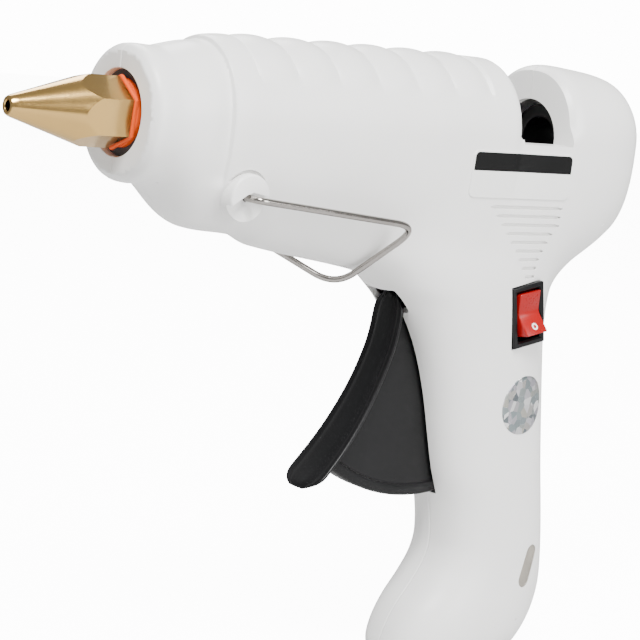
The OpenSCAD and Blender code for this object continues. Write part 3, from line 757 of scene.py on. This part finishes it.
def smooth_skin(o):
    """Normals of the outside come from the field itself, so they don't depend on the mesh's cuts."""
    shade(o, 32)
    mesh = o.data
    p = points_of(o)
    near = np.abs(seam_field(p)) < 0.04
    g = gradient(seam_field, p, 0.03)
    g /= np.maximum(np.linalg.norm(g, axis=1, keepdims=True), 1e-9)
    count = len(mesh.loops)
    vert = np.empty(count, int)
    mesh.loops.foreach_get("vertex_index", vert)
    face_n = np.empty(len(mesh.polygons) * 3)
    mesh.polygons.foreach_get("normal", face_n)
    face_n = face_n.reshape(-1, 3)
    total = np.empty(len(mesh.polygons), int)
    mesh.polygons.foreach_get("loop_total", total)
    face = np.repeat(np.arange(len(total)), total)
    good = near[vert] & ((g[vert] * face_n[face]).sum(1) > 0.8)
    whole = np.ones(len(total), bool)
    np.logical_and.at(whole, face, good)
    use = whole[face]
    normals = np.where(use[:, None], g[vert], 0.0)
    mesh.normals_split_custom_set(normals.tolist())


casing = casing_solid()
right_shell = duplicate(casing, "casing_right_shell")
casing.name = "casing_left_shell"
combine(casing, box("t", (-50, -60, -200), (260, -0.01, 60)), "INTERSECT")
combine(right_shell, box("t", (-50, 0.01, -200), (260, 60, 60)), "INTERSECT")
place(casing, WHITE, "body", "casing_plastic", "casing_left")
place(right_shell, WHITE, "body", "casing_plastic", "casing_right")
for shell in (casing, right_shell):
    p = points_of(shell)
    p[:, 2] = np.minimum(p[:, 2], cad_box[1][2] / MM - 0.01)
    set_points(shell, p)
    smooth_skin(shell)

# ---- nozzle and collar --------------------------------------------------------------------
TIP_R, HEX_BACK, CONE_END = 2.35, 28.9, 20.5
ACROSS_FLATS = 15
HEX_CORNER = ACROSS_FLATS / math.sqrt(3)
MELT_BORE_R, VALVE_BORE_R = 1.25, 3.4
HEX_TURN = math.radians(6)


def hex_prism(x0, x1, r, bevel):
    """Hexagon along X; its first corner points down, turned from -Z by HEX_TURN."""
    pts = []
    for k in range(6):
        a = HEX_TURN + math.pi / 3 * k
        pts.append((r * math.cos(a), r * math.sin(a)))
    verts = [(x0, b, -a) for a, b in pts] + [(x1, b, -a) for a, b in pts]
    faces = [tuple(range(6)), tuple(range(11, 5, -1))]
    faces += [(i, 6 + i, 6 + (i + 1) % 6, (i + 1) % 6) for i in range(6)]
    o = new_object("hex", verts, faces)
    outward(o)
    if bevel:
        m = o.modifiers.new("b", "BEVEL")
        m.width, m.segments, m.limit_method = bevel * MM, 3, "ANGLE"
        apply_modifiers(o)
    return o


cone_slope = (HEX_CORNER - TIP_R) / CONE_END
nozzle = hex_prism(0, HEX_BACK, HEX_CORNER, 0.12)
combine(nozzle, lathe("cone", [(0.0, 0), (0.0, TIP_R - 0.35), (0.1, TIP_R - 0.12), (0.35, TIP_R + 0.02)] +
                      [(x, TIP_R + cone_slope * x) for x in np.linspace(1, HEX_BACK - 0.3, 40)] +
                      [(HEX_BACK, TIP_R + cone_slope * HEX_BACK - 0.4), (HEX_BACK, 0)], 128), "INTERSECT")
add(nozzle, lathe("thread", [(HEX_BACK - 0.5, 0), (HEX_BACK - 0.5, 5.2)] +
                  [(HEX_BACK + 0.6 + 0.5 * k, 5.95 if k % 2 else 5.4) for k in range(25)] +
                  [(42, 5.2), (42, 0)], 72))
cut(nozzle, lathe("bore", [(-1, 0), (-1, 1.55), (0.0, 1.42), (0.25, MELT_BORE_R), (11.2, MELT_BORE_R),
                           (12, VALVE_BORE_R), (43, VALVE_BORE_R), (43, 0)], 48))
nozzle.name = "brass_nozzle"
shade(nozzle, 12)
place(nozzle, BRASS, "body", "nozzle_brass", "nozzle")

collar = hex_prism(HEX_BACK, HEX_BACK + 1.0, HEX_CORNER + 0.5, 0.3)
combine(collar, lathe("round", rounded(HEX_BACK - 0.01, HEX_BACK + 1.01, 9.0, 0, 0.35), 96), "INTERSECT")
add(collar, lathe("sleeve", rounded(HEX_BACK + 0.9, 36, 8.2, 0, 0.2), 96))
cut(collar, lathe("bore", [(20, 0), (20, 6.0), (40, 6.0), (40, 0)], 72))
collar.name = "silicone_collar"
shade(collar, 25)
place(collar, ORANGE, "body", "silicone_orange", "nozzle_collar")


# ---- wire stand ---------------------------------------------------------------------------
def unit(v):
    return v / np.linalg.norm(v)


def wire_path():
    y = 21.5
    route = [np.array(v, float) for v in (
        (STAND[0], -13.0, STAND[1]), (STAND[0], -y, STAND[1]), (110.1, -y, -22.9), (101.8, -0.5, -41.9),
        (STAND[0], y, STAND[1]), (STAND[0], 13.0, STAND[1]))]
    out = [route[0]]
    for k, r in zip(range(1, 5), (2.6, 8, 7, 2.6)):
        p, q, t = route[k - 1], route[k], route[k + 1]
        a, b = q + unit(p - q) * r, q + unit(t - q) * r
        out += [(1 - u) ** 2 * a + 2 * u * (1 - u) * q + u * u * b for u in np.linspace(0, 1, 13)]
    out.append(route[-1])
    return out


def tube_along(name, path, r, sides=20):
    rings, side = [], np.array([0, 0, 1.0])
    for k, p in enumerate(path):
        way = unit(path[min(k + 1, len(path) - 1)] - path[max(k - 1, 0)])
        side = unit(side - side.dot(way) * way)
        other = np.cross(way, side)
        ring = r * 0.985 if 0 < k < len(path) - 1 else r * 0.8
        rings.append([p + ring * (math.cos(a) * side + math.sin(a) * other)
                      for a in (2 * math.pi * i / sides for i in range(sides))])
        if k == 0:
            q = p + way * 0.3
            rings.append([q + r * 0.985 * (math.cos(a) * side + math.sin(a) * other)
                          for a in (2 * math.pi * i / sides for i in range(sides))])
    return loft(name, rings)


wire = tube_along("wire_stand_rod", wire_path(), WIRE_R)
shade(wire, 40)
place(wire, STEEL, "wire_stand", "steel_wire", "wire_stand")

# ---- trigger ------------------------------------------------------------------------------
BLADE_FRONT, BLADE_FRONT_R = (39.2, -32.7), 84.1
BLADE_BACK, BLADE_BACK_R = (22.8, -25.0), 103.2
BLADE_HALF = 7.3
HALF_KEYS = [[-96, 0.97], [-91, 1.0], [-80, 0.93], [-68, 0.84], [-55, 0.8], [-49, 0.79], [-43, 0.74]]
BLADE_END, BLADE_TOP = -95.9, -42.6
END_ROUND, TOP_ROUND = 4.2, 7.0


def arc_x(centre, r, z):
    return centre[0] + math.sqrt(max(r * r - (z - centre[1]) ** 2, 0))


def blade():
    """Curved finger blade with a crowned front and rolled edges, lofted up Z, its ends rounded."""
    rings = []
    low = [BLADE_END + END_ROUND * (1 - math.cos(a)) for a in np.linspace(0.12, math.pi / 2, 10)]
    top = [BLADE_TOP - TOP_ROUND * (1 - math.cos(a)) for a in np.linspace(math.pi / 2, 0.12, 10)]
    for z in low + list(np.linspace(low[-1], top[0], 42))[1:-1] + top:
        half = float(curve(HALF_KEYS, z)) * BLADE_HALF
        front, rear = arc_x(BLADE_FRONT, BLADE_FRONT_R, z), arc_x(BLADE_BACK, BLADE_BACK_R, z)
        rear = max(rear, front + 2.2)
        ends = [min(1.0, max(0.0, d)) for d in ((z - BLADE_END) / END_ROUND, (BLADE_TOP - z) / TOP_ROUND)]
        wide = min(1 - (1 - e) ** 2.6 * k for e, k in zip(ends, (0.62, 0.8)))
        thick = min(1 - (1 - e) ** 6 * 0.75 for e in ends)
        middle, depth = (front + rear) / 2 - 1.2 * float(smooth(z, -60, -44)), (rear - front) / 2 * thick
        ring = []
        for k in range(48):
            a = 2 * math.pi * (k + 0.5) / 48
            c, w = math.cos(a), math.sin(a)
            u = math.copysign(abs(c) ** (2 / 3.0), c)
            v = math.copysign(abs(w) ** (2 / 3.0), w)
            x = middle + depth * u
            if u < 0:
                x += 0.5 * math.exp(-((abs(v) - 0.66) / 0.14) ** 2) * thick
            ring.append((x, half * wide * v, z))
        rings.append(ring)
    return loft("blade", rings)


def fin_outline(r_out, r_in=0.0, front=0.8, back=13.5):
    """Fin between the blade and a line through the handle, as an X-Z outline."""
    pts = []
    a1 = math.degrees(math.atan2(-r_out, back))
    for k in range(61):
        a = math.radians(a1 - (a1 + 170) * k / 60)
        x, z = PIVOT[0] + r_out * math.cos(a), PIVOT[1] + r_out * math.sin(a)
        if math.hypot(x - BLADE_FRONT[0], z - BLADE_FRONT[1]) > BLADE_FRONT_R + front and z < -50:
            pts.append((x, z))
    last = pts[-1]
    if r_in:
        inner = []
        for x, z in pts:
            d = math.hypot(x - PIVOT[0], z - PIVOT[1])
            inner.append((PIVOT[0] + (x - PIVOT[0]) * r_in / d, PIVOT[1] + (z - PIVOT[1]) * r_in / d))
        return pts + inner[::-1]
    for z in np.linspace(last[1] + 1, -48, 24):
        pts.append((arc_x(BLADE_FRONT, BLADE_FRONT_R + front, z), z))
    pts += [(123.5, -46.5), (134, -42), (142, -46)]
    return pts


trigger = blade()
add(trigger, prism("fin", fin_outline(54.4), -2.6, 2.6, 0.25, 2),
    prism("rim", fin_outline(54.6, 51.2), -3.25, 3.25, 0.9, 3),
    bar("hub", PIVOT, -6.6, 6.6, 5.0, 0.4))
lean = math.radians(12)


def up_arm(u, v):
    """Point u across and v along the arm, which leans back from the pivot."""
    return (PIVOT[0] + u * math.cos(lean) + v * math.sin(lean),
            PIVOT[1] - u * math.sin(lean) + v * math.cos(lean))


add(trigger, prism("arm", [up_arm(-5, 0), up_arm(-3.6, 29), up_arm(3.6, 29), up_arm(5, 0)], -2.2, 2.2,
                   0.3, 2))
cut(trigger, bar("t", PIVOT, -10, 10, PIN_HOLE_R),
    prism("t", [up_arm(-1.35, 24.2), up_arm(-1.35, 34), up_arm(1.35, 34), up_arm(1.35, 24.2)], -3, 3),
    bar("t", up_arm(0, 15), -3, 3, 0.9))
trigger.name = "trigger_lever"
shade(trigger, 28)
place(trigger, BLACK, "trigger", "black_plastic", "trigger")


# ---- power switch -------------------------------------------------------------------------
def in_switch(o, turn=0.0, at_y=0.0):
    """Moves a mesh made round the switch's own middle, with Y inward from the bezel's face."""
    p = points_of(o)
    c, w = math.cos(turn), math.sin(turn)
    y, z = p[:, 1].copy(), p[:, 2].copy()
    p[:, 1], p[:, 2] = y * c - z * w + at_y, y * w + z * c
    c, w = math.cos(-SWITCH_TILT), math.sin(-SWITCH_TILT)
    x, z = p[:, 0].copy(), p[:, 2].copy()
    p[:, 0], p[:, 2] = x * c + z * w + SWITCH_AT[0], -x * w + z * c + SWITCH_AT[1]
    p[:, 1] += SWITCH_FACE
    set_points(o, p)
    return o


def rounded_box(name, hx, y0, y1, hz, bevel, segments=3):
    o = box(name, (-hx, y0, -hz), (hx, y1, hz))
    m = o.modifiers.new("b", "BEVEL")
    m.width, m.segments = bevel * MM, segments
    apply_modifiers(o)
    return o


bezel = rounded_box("bezel", 5.9, -1.2, 0.7, 8.7, 0.45)
add(bezel, rounded_box("shell", 4.9, 0.5, 11.5, 7.7, 0.3))
cut(bezel, box("t", (-4.2, -4, -7), (4.2, 8.4, 7)))
cut(bezel, loft("t", [[(x, -1.3, z) for x, z in ((-4.75, -7.55), (4.75, -7.55), (4.75, 7.55), (-4.75, 7.55))],
                      [(x, -0.6, z) for x, z in ((-4.1, -6.9), (4.1, -6.9), (4.1, 6.9), (-4.1, 6.9))]]))
hole = bar("t", (0, 0), -8, 8, 0.8)
p = points_of(hole)
set_points(hole, np.stack([p[:, 1], p[:, 0] + 1.5, p[:, 2]], 1))
cut(bezel, hole)
in_switch(bezel)
bezel.name = "switch_bezel"
shade(bezel, 25)
place(bezel, BLACK, "body", "black_plastic", "switch_frame")


def rocker_mesh():
    """V-faced rocker, made in its own frame: X across, Y inward, Z up, pin at the origin."""
    side = [(-5, 5.9), (-3.6, 2.6), (-2.85, 0.8), (-2.7, 0), (-2.85, -0.8), (-3.6, -2.6), (-5, -5.9),
            (1, -5.9), (4, -3), (5, 0), (4, 3), (1, 5.9)]
    verts = [(x, y, z) for x in (-3.9, 3.9) for y, z in side]
    n = len(side)
    faces = [tuple(range(n)), tuple(range(2 * n - 1, n - 1, -1))]
    faces += [(i, n + i, n + (i + 1) % n, (i + 1) % n) for i in range(n)]
    o = new_object("rocker", verts, faces)
    outward(o)
    m = o.modifiers.new("b", "BEVEL")
    m.width, m.segments, m.limit_method, m.angle_limit = 0.45 * MM, 3, "ANGLE", math.radians(40)
    apply_modifiers(o)
    hole = bar("t", (0, 0), -6, 6, 0.85)
    p = points_of(hole)
    set_points(hole, np.stack([p[:, 1], p[:, 0], p[:, 2]], 1))
    return cut(o, hole)


ROCKER_TURN, ROCKER_PIN = math.radians(-12), 1.5
rocker = in_switch(rocker_mesh(), ROCKER_TURN, ROCKER_PIN)
rocker.name = "rocker_cap"
shade(rocker, 25)
place(rocker, RED, "rocker", "red_plastic", "switch_rocker")


def face_y(z):
    return -2.85 - (abs(z) - 0.8) * (5 - 2.85) / (5.9 - 0.8)


def mark_ring(name, z0, r_out, r_in):
    """Flat ring let into the rocker's sloped face, the plain sign for off."""
    verts, faces, n = [], [], 28
    for lift in (-0.06, 0.25):
        for r in (r_out, r_in):
            for k in range(n):
                a = 2 * math.pi * k / n
                z = z0 + r * math.sin(a)
                verts.append((r * math.cos(a), face_y(z) + lift, z))
    for k in range(n):
        j = (k + 1) % n
        oo, oi, io, ii = 0, n, 2 * n, 3 * n
        faces += [(oo + k, oo + j, oi + j, oi + k), (io + j, io + k, ii + k, ii + j),
                  (oo + k, io + k, io + j, oo + j), (oi + j, ii + j, ii + k, oi + k)]
    o = new_object(name, verts, faces)
    outward(o)
    return o


off_mark = in_switch(mark_ring("rocker_mark_off", -3.7, 0.95, 0.5), ROCKER_TURN, ROCKER_PIN)
place(off_mark, MARK, "rocker", "plate_print")


# ---- plate, sticker and window --------------------------------------------------------------
def rounded_rect(hx, hz, r, count=8):
    pts = []
    for sx, sz, start in ((1, 1, 0), (-1, 1, 90), (-1, -1, 180), (1, -1, 270)):
        for k in range(count + 1):
            a = math.radians(start + 90 * k / count)
            pts.append((sx * (hx - r) + r * math.cos(a), sz * (hz - r) + r * math.sin(a)))
    return pts


def flank_film(name, outline, at, lift, thick, levels=14, dome=0.0, edge=0.12):
    """A film on the flank inside an outline: rings shrink to the middle, and its edge is rolled down."""
    fine = []
    for a, b in zip(outline, outline[1:] + outline[:1]):
        steps = max(1, round(math.dist(a, b) / 1.2))
        fine += [(a[0] + (b[0] - a[0]) * k / steps, a[1] + (b[1] - a[1]) * k / steps) for k in range(steps)]
    verts, faces, n = [], [], len(fine)
    o = np.array(fine, float)
    rows = []

    def row(scale, up):
        x, z = o[:, 0] * scale + at[0], o[:, 1] * scale + at[1]
        y = skin_y(x, z) - up
        base = len(verts)
        verts.extend(np.stack([x, y, z], 1).tolist())
        rows.append(list(range(base, base + n)))

    span = float(np.abs(o).max())
    row(1.0, -thick)
    row(1.0, lift * 0.4)
    row(1 - edge / span, lift)
    for k in range(1, levels + 1):
        t = k / levels
        row((1 - edge / span) * (1 - t * 0.985), lift + dome * (1 - (1 - t) ** 2))
    for a, b in zip(rows, rows[1:]):
        faces += [(a[i], a[(i + 1) % n], b[(i + 1) % n], b[i]) for i in range(n)]
    faces.append(tuple(rows[-1]))
    back_rows = [rows[0]]
    for k in range(1, 6):
        t = k / 5
        row(1 - t * 0.98, -thick)
        b = rows[-1]
        a = back_rows[-1]
        faces += [(a[(i + 1) % n], a[i], b[i], b[(i + 1) % n]) for i in range(n)]
        back_rows.append(b)
    faces.append(tuple(back_rows[-1][::-1]))
    m = new_object(name, verts, faces)
    outward(m)
    shade(m, 40)
    return m


PLATE_AT, PLATE_HALF = (148.0, -8.9), (18.6, 6.3)
plate = flank_film("rating_plate_film", rounded_rect(*PLATE_HALF, 1.8), PLATE_AT, 0.28, 0.2, 18)
place(plate, PLATE_WHITE, "body", "plate_print", "rating_plate")
band = []
for x, z in rounded_rect(PLATE_HALF[0] - 0.5, PLATE_HALF[1] - 0.5, 1.4):
    band.append((x, max(z, 0.9)))
band = [(x, z - 3.2) for x, z in band]
seen = []
for q in band:
    if not seen or math.hypot(q[0] - seen[-1][0], q[1] - seen[-1][1]) > 1e-3:
        seen.append(q)
plate_band = flank_film("rating_plate_band", seen, (PLATE_AT[0], PLATE_AT[1] + 3.2), 0.34, -0.22, 12, 0, 0.05)
place(plate_band, PLATE_BLACK, "body", "plate_print")

disc = [(8.4 * math.cos(2 * math.pi * k / 72), 8.4 * math.sin(2 * math.pi * k / 72)) for k in range(72)]
sticker = flank_film("round_sticker", disc, (162.5, -73.4), 0.13, 0.1, 14)
place(sticker, FOIL, "body", "sticker_foil", "inspection_sticker")

lens_ring = [(x - WINDOW_AT[0], z - WINDOW_AT[1]) for x, z in window_ring(-0.1)]
lens = flank_film("window_lens", lens_ring, WINDOW_AT, -0.35, 2.0, 12, 0.35, 0.35)
place(lens, CLEAR, "body", "clear_plastic", "indicator_window")

# ---- studio -------------------------------------------------------------------------------
FLOOR_HALF, FLOOR_Z = 3000, -150.2
floor_corners = [(x * FLOOR_HALF, y * FLOOR_HALF, FLOOR_Z) for x, y in ((-1, -1), (1, -1), (1, 1), (-1, 1))]
floor = new_object("floor", floor_corners, [(0, 1, 2, 3)])
FLOOR = material("floor_paper", (0.6, 0.6, 0.6), 0.8, grain=400, bump=0.02, mottle=0.005)


def bright_to_camera(tree, strength_socket, seen, cast):
    """The backdrop looks white, while it lights the object less."""
    path = tree.nodes.new("ShaderNodeLightPath")
    level = tree.nodes.new("ShaderNodeMapRange")
    level.inputs["To Min"].default_value = cast
    level.inputs["To Max"].default_value = seen
    tree.links.new(path.outputs["Is Camera Ray"], level.inputs["Value"])
    tree.links.new(level.outputs["Result"], strength_socket)


shader = FLOOR.node_tree.nodes["Principled BSDF"]
shader.inputs["Emission Color"].default_value = (1, 1, 1, 1)
bright_to_camera(FLOOR.node_tree, shader.inputs["Emission Strength"], 12.0, 0.0)
dress(floor, FLOOR)

world = bpy.data.worlds.new("studio")
scene.world = world
world.use_nodes = True
background = world.node_tree.nodes["Background"]
background.inputs["Color"].default_value = (1, 1, 1, 1)
bright_to_camera(world.node_tree, background.inputs["Strength"], 14.0, 0.5)


def lamp(name, at, target, size, power):
    data = bpy.data.lights.new(name, "AREA")
    data.shape = "DISK"
    data.size = size
    data.energy = power
    o = bpy.data.objects.new(name, data)
    o.location = at
    o.rotation_euler = (Vector(target) - Vector(at)).to_track_quat("-Z", "Y").to_euler()
    scene.collection.objects.link(o)


MIDDLE = (0.11, 0.0, -0.05)
lamp("key", (-0.25, -0.45, 0.8), MIDDLE, 0.45, 24)
lamp("fill", (0.4, -0.95, 0.3), MIDDLE, 0.7, 12)
lamp("rim", (0.35, 0.7, 0.7), MIDDLE, 0.5, 6)

SENSOR_WIDTH, LENS, CAMERA_AT = 36.0, 106.875, (-0.2181, -0.3771, 0.0270)
azimuth, elevation, roll = math.radians(40), math.radians(9), math.radians(6.2)
back = Vector((-math.sin(azimuth) * math.cos(elevation), -math.cos(azimuth) * math.cos(elevation),
               math.sin(elevation)))
right = Vector((math.cos(azimuth), -math.sin(azimuth), 0))
up = back.cross(right)
r2 = right * math.cos(roll) + up * math.sin(roll)
u2 = up * math.cos(roll) - right * math.sin(roll)
cam_data = bpy.data.cameras.new("camera")
cam_data.sensor_width = SENSOR_WIDTH
cam_data.lens = LENS
cam_data.clip_start = 0.01
camera = bpy.data.objects.new("camera", cam_data)
view = Matrix((r2, u2, back)).transposed().to_4x4()
view.translation = Vector(CAMERA_AT)
camera.matrix_world = view
scene.collection.objects.link(camera)
scene.camera = camera

CAD_LOOK = {
    "casing_screws": ZINC, "nozzle": BRASS, "nozzle_collar": ORANGE, "valve_seat_ring": BRASS,
    "valve_ball": STEEL, "valve_spring": STEEL, "melt_chamber": ALUMINIUM, "front_support_ring": RUBBER,
    "rear_support_ring": RUBBER, "heater_element": CERAMIC, "heater_insulator": MICA, "heater_clip": ZINC,
    "inlet_sleeve": ORANGE, "barrel_guide": BLACK, "hood_guide": BLACK, "trigger": BLACK,
    "trigger_pin": STEEL, "return_spring": STEEL, "feed_carriage": GREY, "grip_lever": ZINC,
    "grip_lever_pin": STEEL, "feed_pin": STEEL, "wire_stand": STEEL, "switch_frame": BLACK,
    "switch_rocker": RED, "switch_rocker_pin": STEEL, "switch_terminals": GOLD,
    "rating_plate": PLATE_WHITE, "inspection_sticker": FOIL, "indicator_window": CLEAR,
    "indicator_led": RED, "heater_leads": LEAD, "cord_gland": RUBBER, "cord_clamp": WHITE,
    "cord_clamp_screws": ZINC,
}
for name, mat in CAD_LOOK.items():
    o = NODES[name]
    if o.data.materials:
        for s in o.material_slots:
            s.material = mat
    else:
        o.data.materials.append(mat)
